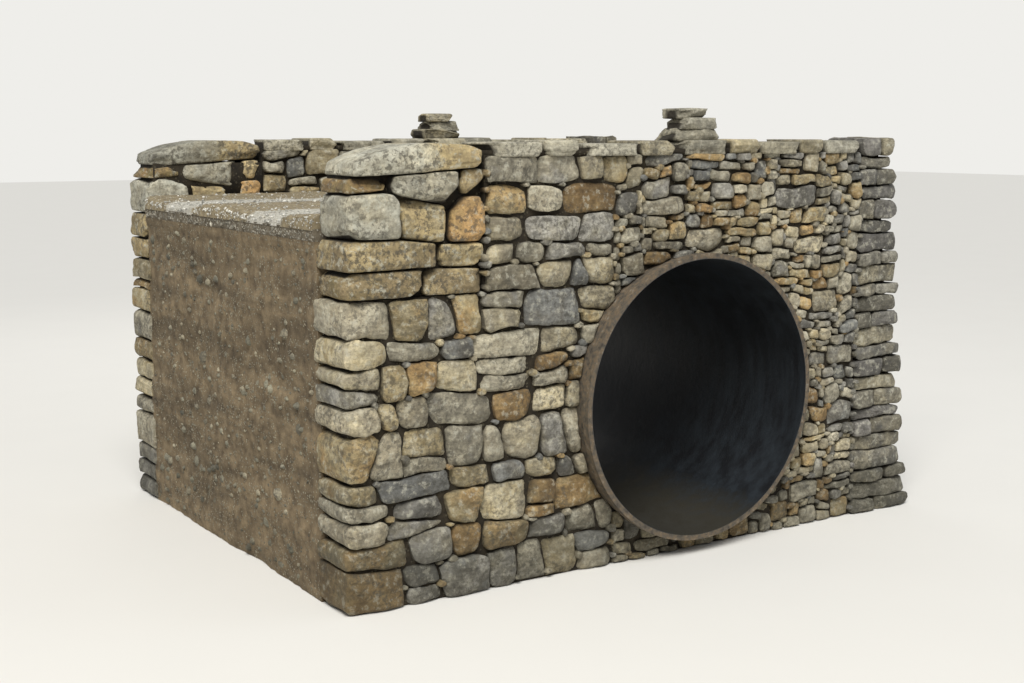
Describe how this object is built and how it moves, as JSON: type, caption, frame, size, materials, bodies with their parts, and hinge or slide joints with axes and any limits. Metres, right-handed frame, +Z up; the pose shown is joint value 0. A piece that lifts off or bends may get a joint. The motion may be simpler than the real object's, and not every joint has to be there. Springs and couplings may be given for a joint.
{
  "type": "stone-faced culvert bridge",
  "caption": "Driveway bridge of rubble stone headwalls and low parapets over a large round steel culvert pipe, with a gravel lane.",
  "frame": {"origin": "on the base, under the axis of the culvert pipe and midway between the two headwalls", "axes": "+X along the lane, to the right as seen from the front, +Y across the lane along the pipe, from the front headwall to the rear one, +Z up"},
  "size_m": [5.1816, 4.24, 3.2118],
  "materials": {
    "pipe_steel": "weathered steel, brown with rust, dark inside",
    "rubble_stone": "mixed beige, ochre and olive-grey fieldstone laid dry",
    "end_stone": "darker grey flat fieldstone",
    "block_stone": "large weathered sandstone blocks, grey and ochre",
    "cap_stone": "pale flat sandstone slabs",
    "packed_fill": "compacted earth and gravel",
    "lane_gravel": "pale crushed limestone gravel",
    "lane_earth": "gravelly earth"
  },
  "bodies": {
    "root": {"culvert_pipe": "pipe_steel", "front_pipe_ring": "pipe_steel", "rear_pipe_ring": "pipe_steel", "front_left_wall": "rubble_stone", "rear_left_wall": "rubble_stone", "front_right_wall": "rubble_stone", "rear_right_wall": "rubble_stone", "front_right_end": "end_stone", "rear_right_end": "end_stone", "front_spandrel": "rubble_stone", "rear_spandrel": "rubble_stone", "front_sill": "rubble_stone", "rear_sill": "rubble_stone", "front_left_parapet": "rubble_stone", "rear_left_parapet": "rubble_stone", "front_middle_parapet": "rubble_stone", "rear_middle_parapet": "rubble_stone", "front_right_parapet": "rubble_stone", "rear_right_parapet": "rubble_stone", "front_lower_end_blocks": "block_stone", "rear_lower_end_blocks": "block_stone", "front_upper_end_blocks": "block_stone", "rear_upper_end_blocks": "block_stone", "front_square_block": "block_stone", "rear_square_block": "block_stone", "front_grey_block": "block_stone", "rear_grey_block": "block_stone", "front_end_cap_slab": "block_stone", "rear_end_cap_slab": "block_stone", "front_cap_stones": "cap_stone", "rear_cap_stones": "cap_stone", "front_raised_stones": "cap_stone", "rear_raised_stones": "cap_stone", "left_fill": "packed_fill", "right_fill": "packed_fill", "crown_fill": "packed_fill", "pipe_bedding": "packed_fill", "lane_bed": "lane_gravel", "front_wheel_track": "lane_gravel", "rear_wheel_track": "lane_gravel", "centre_strip": "lane_earth", "front_verge": "lane_earth", "rear_verge": "lane_earth"}
  },
  "joints": []
}
